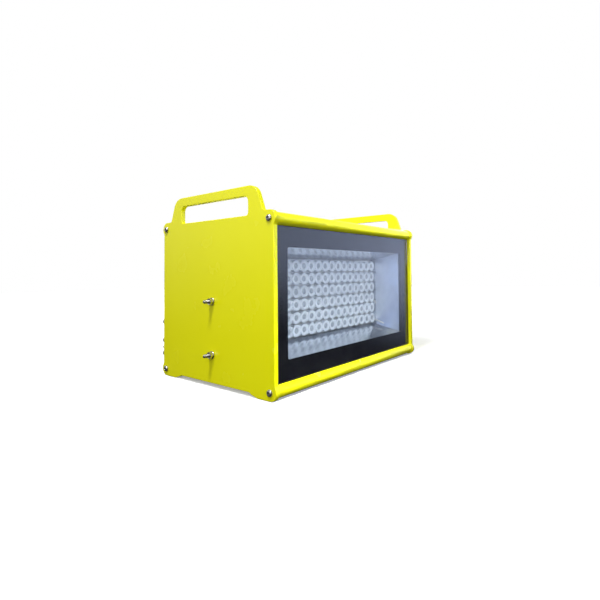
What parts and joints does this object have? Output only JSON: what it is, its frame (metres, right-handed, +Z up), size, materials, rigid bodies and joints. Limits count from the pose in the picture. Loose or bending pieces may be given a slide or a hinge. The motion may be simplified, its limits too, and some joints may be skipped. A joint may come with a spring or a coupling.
{
  "type": "warning light head",
  "caption": "Box-shaped LED warning light head in yellow aluminium, with a glass front, end plates with handles and feet, side mounting studs and rear cable glands.",
  "frame": {"origin": "on the surface the feet stand on, below the middle of the box that holds the whole part", "axes": "+X along the housing from the end with the cable glands to the other end, -Y the way the light shines, +Z up"},
  "size_m": [0.474, 0.3075, 0.3152],
  "materials": {
    "yellow_paint": "glossy fluorescent yellow powder coat",
    "front_glass": "clear toughened glass with a black border printed behind it",
    "stainless_steel": "plain stainless fasteners",
    "nickel_brass": "satin nickel-plated brass",
    "mirror_aluminium": "polished reflector sheet",
    "bare_aluminium": "mill finish",
    "lens_plastic": "clear and frosted lens plastic",
    "led_board": "white solder mask",
    "circuit_board": "green solder mask",
    "terminal_plastic": "moulded plastic",
    "seal_rubber": "matt silicone rubber"
  },
  "bodies": {
    "housing": {"left_end_plate": "yellow_paint", "reflector_left": "mirror_aluminium", "left_pivot_stud": "stainless_steel", "left_pivot_nut": "stainless_steel", "left_lock_stud": "stainless_steel", "left_lock_nut": "stainless_steel", "left_top_front_screw": "stainless_steel", "left_top_rear_screw": "stainless_steel", "left_bottom_front_screw": "stainless_steel", "left_bottom_rear_screw": "stainless_steel", "right_end_plate": "yellow_paint", "reflector_right": "mirror_aluminium", "right_pivot_stud": "stainless_steel", "right_pivot_nut": "stainless_steel", "right_lock_stud": "stainless_steel", "right_lock_nut": "stainless_steel", "right_top_front_screw": "stainless_steel", "right_top_rear_screw": "stainless_steel", "right_bottom_front_screw": "stainless_steel", "right_bottom_rear_screw": "stainless_steel", "top_front_rail": "yellow_paint", "top_rear_rail": "yellow_paint", "top_panel": "yellow_paint", "reflector_top": "mirror_aluminium", "bottom_front_rail": "yellow_paint", "bottom_rear_rail": "yellow_paint", "bottom_panel": "yellow_paint", "reflector_bottom": "mirror_aluminium", "rear_cover": "yellow_paint", "rear_seal": "seal_rubber", "front_glass": "front_glass", "glass_gasket": "seal_rubber", "led_carrier": "bare_aluminium", "heat_sink": "bare_aluminium", "led_strip_1": "led_board", "lens_bar_1": "lens_plastic", "led_strip_2": "led_board", "lens_bar_2": "lens_plastic", "led_strip_3": "led_board", "lens_bar_3": "lens_plastic", "led_strip_4": "led_board", "lens_bar_4": "lens_plastic", "led_strip_5": "led_board", "lens_bar_5": "lens_plastic", "led_strip_6": "led_board", "lens_bar_6": "lens_plastic", "driver_1": "bare_aluminium", "driver_2": "bare_aluminium", "control_board": "circuit_board", "terminal_block": "terminal_plastic", "gland_body_1": "nickel_brass", "gland_body_2": "nickel_brass", "gland_body_3": "nickel_brass", "earth_stud": "nickel_brass", "vent_plug": "seal_rubber"},
    "cap_1": {"gland_cap_1": "nickel_brass"},
    "cap_2": {"gland_cap_2": "nickel_brass"},
    "cap_3": {"gland_cap_3": "nickel_brass"}
  },
  "joints": [
    {"name": "cap_1_turn", "type": "hinge", "parent": "housing", "child": "cap_1", "pos_m": [-0.2005, 0.14375, 0.0928], "axis": [0, 1, 0], "range_deg": [0, 270]},
    {"name": "cap_2_turn", "type": "hinge", "parent": "housing", "child": "cap_2", "pos_m": [-0.2005, 0.14375, 0.0583], "axis": [0, 1, 0], "range_deg": [0, 270]},
    {"name": "cap_3_turn", "type": "hinge", "parent": "housing", "child": "cap_3", "pos_m": [-0.2005, 0.14375, 0.0345], "axis": [0, 1, 0], "range_deg": [0, 270]}
  ]
}
